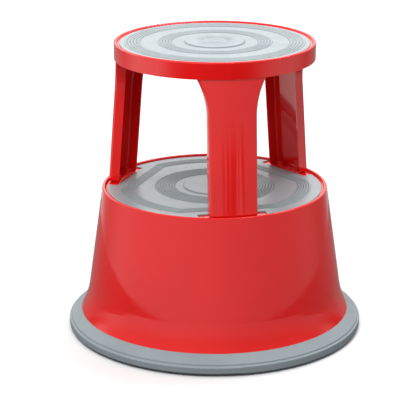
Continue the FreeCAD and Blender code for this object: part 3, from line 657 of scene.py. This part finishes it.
def nut_rings(box, flange_below):
    """A flanged nut: a chamfered hexagon on a tapered flange, with the flange above or below."""
    low, high = box[0].z, box[1].z
    rings = [
        (0.0, high - 0.0002),
        (SHANK_RADIUS + 0.0001, high - 0.0002),
        (SHANK_RADIUS + 0.0005, high),
        (0.0045, high),
        ("hex", lambda d: high - (hex_radius(0.0095, d) - 0.0045) * CHAMFER),
        ("hex", low + 0.0016),
        (NUT_FLANGE - 0.0003, low + 0.0008),
        (NUT_FLANGE, low + 0.0005),
        (NUT_FLANGE, low),
        (0.0, low),
    ]
    if flange_below:
        return rings
    turned_over = []
    for radius, level in reversed(rings):
        if callable(level):
            turned_over.append((radius, lambda d, f=level: low + high - f(d)))
        else:
            turned_over.append((radius, low + high - level))
    return turned_over


for name, node, flange_below in (("deck_flange_nuts", "deck_nuts", False), ("top_flange_nuts", "top_nuts", False)):
    parts = [hex_turned(nut_rings(box, flange_below), 0.0095, middle_of(box)) for box in solids_of(node)]
    stand_in(joined(name, parts, 30.0), node, "stool")

stud_parts = []
for box in solids_of("top_weld_studs"):
    rings = [(0.0, box[1].z)] + thread_rings(SHANK_RADIUS, box[0].z, box[1].z)
    points, faces = turned(rings, 48, middle_of(box))
    stud_parts.append((points, [tuple(reversed(face)) for face in faces]))
stand_in(joined("threaded_studs", stud_parts, 30.0), "top_weld_studs", "stool")


# Castor springs: round wire with closed, ground end turns

SPRING_TURNS = 6.0
WIRE = 0.0018
TURN_STEPS = 60
WIRE_STEPS = 14


def spring_height(turn):
    """Height of the wire's centreline as a share of the free length, with the end turns closed."""
    closed = 0.8
    pitch_share = 0.06
    if turn < closed:
        return pitch_share * turn / closed
    if turn > SPRING_TURNS - closed:
        return 1.0 - pitch_share * (SPRING_TURNS - turn) / closed
    return pitch_share + (1.0 - 2 * pitch_share) * (turn - closed) / (SPRING_TURNS - 2 * closed)


def spring(name, low, high):
    centre = ((low.x + high.x) / 2, (low.y + high.y) / 2)
    coil = (high.x - low.x) / 2 - WIRE / 2
    bottom, top = low.z + 0.25 * WIRE, high.z - 0.25 * WIRE
    verts, faces = [], []
    count = int(SPRING_TURNS * TURN_STEPS)
    for step in range(count + 1):
        turn = SPRING_TURNS * step / count
        angle = 2 * math.pi * turn
        level = bottom + (top - bottom) * spring_height(turn)
        out = Vector((math.cos(angle), math.sin(angle), 0.0))
        for part in range(WIRE_STEPS):
            round_angle = 2 * math.pi * part / WIRE_STEPS
            radius = coil + WIRE / 2 * math.cos(round_angle)
            z = min(max(level + WIRE / 2 * math.sin(round_angle), low.z), high.z)
            verts.append((centre[0] + out.x * radius, centre[1] + out.y * radius, z))
    for step in range(count):
        for part in range(WIRE_STEPS):
            here, after = step * WIRE_STEPS, (step + 1) * WIRE_STEPS
            beside = (part + 1) % WIRE_STEPS
            faces.append((here + part, after + part, after + beside, here + beside))
    faces.append(tuple(range(WIRE_STEPS)))
    faces.append(tuple(count * WIRE_STEPS + part for part in reversed(range(WIRE_STEPS))))
    return new_piece(name, verts, faces, 40.0)


for castor in CASTOR_NAMES:
    low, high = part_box(f"{castor}_spring")
    coil_spring = spring(f"{castor}_coil_spring", low, high)
    stand_in(coil_spring, f"{castor}_spring", "stool")
    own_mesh(coil_spring)


# Floor, light and camera

CAMERA_PLACE = Vector((-0.4077, -2.3123, 0.929))
CAMERA_TURN = (math.radians(90.0 - 17.75), 0.0, math.radians(-9.76))
LENS = 144.17
FLOOR_RADIUS = 0.75


def floor():
    steps = 96
    ring = [(FLOOR_RADIUS * math.cos(math.tau * i / steps), FLOOR_RADIUS * math.sin(math.tau * i / steps), 0.0) for i in range(steps)]
    obj = new_piece("studio_floor", ring, [tuple(range(steps))])
    f = Finish("studio_floor")
    pale = f.mix(f.spread(f.noise(3.0, 3.0), 0.3, 0.7), (0.79, 0.79, 0.788), (0.76, 0.76, 0.76))
    seen = f.tree.nodes.new("ShaderNodeLightPath").outputs["Is Camera Ray"]
    f.link(f.mix(seen, (0.12, 0.12, 0.12), pale), "Base Color")
    f.link(f.spread(f.noise(20.0, 3.0), 0.3, 0.7, 0.65, 0.8), "Roughness")
    f.bumps((f.noise(150.0, 3.0), 0.00002))
    obj.data.materials.append(f.material)


def area_light(name, place, size, power, target=(0.0, 0.0, 0.2)):
    light = bpy.data.lights.new(name, "AREA")
    light.shape = "RECTANGLE"
    light.size, light.size_y = size
    light.energy = power
    obj = bpy.data.objects.new(name, light)
    obj.location = place
    obj.rotation_mode = "QUATERNION"
    obj.rotation_quaternion = (Vector(target) - Vector(place)).to_track_quat("-Z", "Y")
    bpy.context.scene.collection.objects.link(obj)
    return obj


# Brightness of the room by elevation in degrees, straight in front of the stool, beside it and behind it
ROOM = {
    "front": ((-22, 0.02), (-13, 0.05), (-9.5, 0.70), (-4.4, 0.85), (6, 0.80), (20, 0.50), (60, 0.60), (90, 0.90)),
    "side": ((-32, 0.1), (-22, 1.3), (-15, 1.3), (-9, 0.80), (-4, 0.80), (2, 0.75), (13, 0.50), (25, 0.50), (40, 0.9), (60, 1.1), (90, 0.9)),
    "back": ((-32, 0.1), (-22, 1.1), (-16, 0.8), (-12, 0.30), (-7, 0.35), (2, 0.15), (10, 1.5), (38, 1.3), (60, 1.0), (90, 0.9)),
}
ROOM_SCALE = 4.0


def surroundings():
    """A studio room with high softboxes, a bright wall behind the stool and a dark floor in front of it."""
    world = bpy.data.worlds.new("studio")
    bpy.context.scene.world = world
    world.use_nodes = True
    tree = world.node_tree
    tree.nodes.clear()
    out = tree.nodes.new("ShaderNodeOutputWorld")
    f = Finish.__new__(Finish)
    f.tree = tree
    f.place = direction = tree.nodes.new("ShaderNodeTexCoord").outputs["Generated"]

    def towards(x, y, z=0.0):
        dot = tree.nodes.new("ShaderNodeVectorMath")
        dot.operation = "DOT_PRODUCT"
        tree.links.new(direction, dot.inputs[0])
        dot.inputs[1].default_value = Vector((x, y, z)).normalized()
        return dot.outputs["Value"]

    front = towards(CAMERA_PLACE.x, CAMERA_PLACE.y)
    left = towards(CAMERA_PLACE.y, -CAMERA_PLACE.x)
    up = towards(0.0, 0.0, 1.0)
    pillar_view = towards(-CAMERA_PLACE.x, CAMERA_PLACE.y)
    height = f.maths("MULTIPLY_ADD", up, 0.5)
    height.node.inputs[2].default_value = 0.5

    def profile(stops):
        node = tree.nodes.new("ShaderNodeValToRGB")
        ramp = node.color_ramp
        ramp.interpolation = "EASE"
        for number, (degrees, level) in enumerate(stops):
            place = 0.5 + 0.5 * math.sin(math.radians(degrees))
            element = ramp.elements[number] if number < 2 else ramp.elements.new(place)
            element.position = place
            element.color = (level / ROOM_SCALE,) * 3 + (1.0,)
        tree.links.new(height, node.inputs["Fac"])
        return node.outputs["Color"]

    level = f.mix(f.spread(front, 0.30, 0.85), profile(ROOM["side"]), profile(ROOM["front"]))
    level = f.mix(f.spread(front, -0.05, -0.60), level, profile(ROOM["back"]))
    stands = f.noise(24.0, 1.0, 0.5, (1, 1, 0))
    stands = f.spread(stands, 0.47, 0.60, 0.15, 1.45)
    low_front = f.maths("MULTIPLY", f.spread(pillar_view, 0.962, 0.978), f.spread(up, -0.100, -0.116))
    low_front = f.maths("MULTIPLY", low_front, f.spread(up, -0.32, -0.20))
    gain = f.maths("ADD", 1.0, f.maths("MULTIPLY", low_front, f.maths("SUBTRACT", stands, 1.0)))
    gain = f.maths("MULTIPLY", gain, f.spread(left, -1.0, 1.0, 0.80, 1.28))
    lit = tree.nodes.new("ShaderNodeBackground")
    tree.links.new(level, lit.inputs["Color"])
    tree.links.new(f.maths("MULTIPLY", gain, ROOM_SCALE), lit.inputs["Strength"])
    white = tree.nodes.new("ShaderNodeBackground")
    white.inputs["Color"].default_value = (1.0, 1.0, 1.0, 1.0)
    white.inputs["Strength"].default_value = 1.3
    seen = tree.nodes.new("ShaderNodeLightPath").outputs["Is Camera Ray"]
    mix = tree.nodes.new("ShaderNodeMixShader")
    tree.links.new(seen, mix.inputs["Fac"])
    tree.links.new(lit.outputs["Background"], mix.inputs[1])
    tree.links.new(white.outputs["Background"], mix.inputs[2])
    tree.links.new(mix.outputs["Shader"], out.inputs["Surface"])


floor()
surroundings()
area_light("overhead_softbox", (0.7, 0.5, 2.0), (1.2, 1.2), 20.0)
key = area_light("front_softbox", (-0.57, -1.22, 1.9), (1.0, 1.0), 27.0)
key.visible_glossy = False

camera = bpy.data.objects.new("camera", bpy.data.cameras.new("camera"))
camera.location = CAMERA_PLACE
camera.rotation_euler = CAMERA_TURN
camera.data.lens = LENS
camera.data.sensor_width = 36.0
bpy.context.scene.collection.objects.link(camera)
bpy.context.scene.camera = camera
bpy.context.scene.view_settings.view_transform = "Standard"
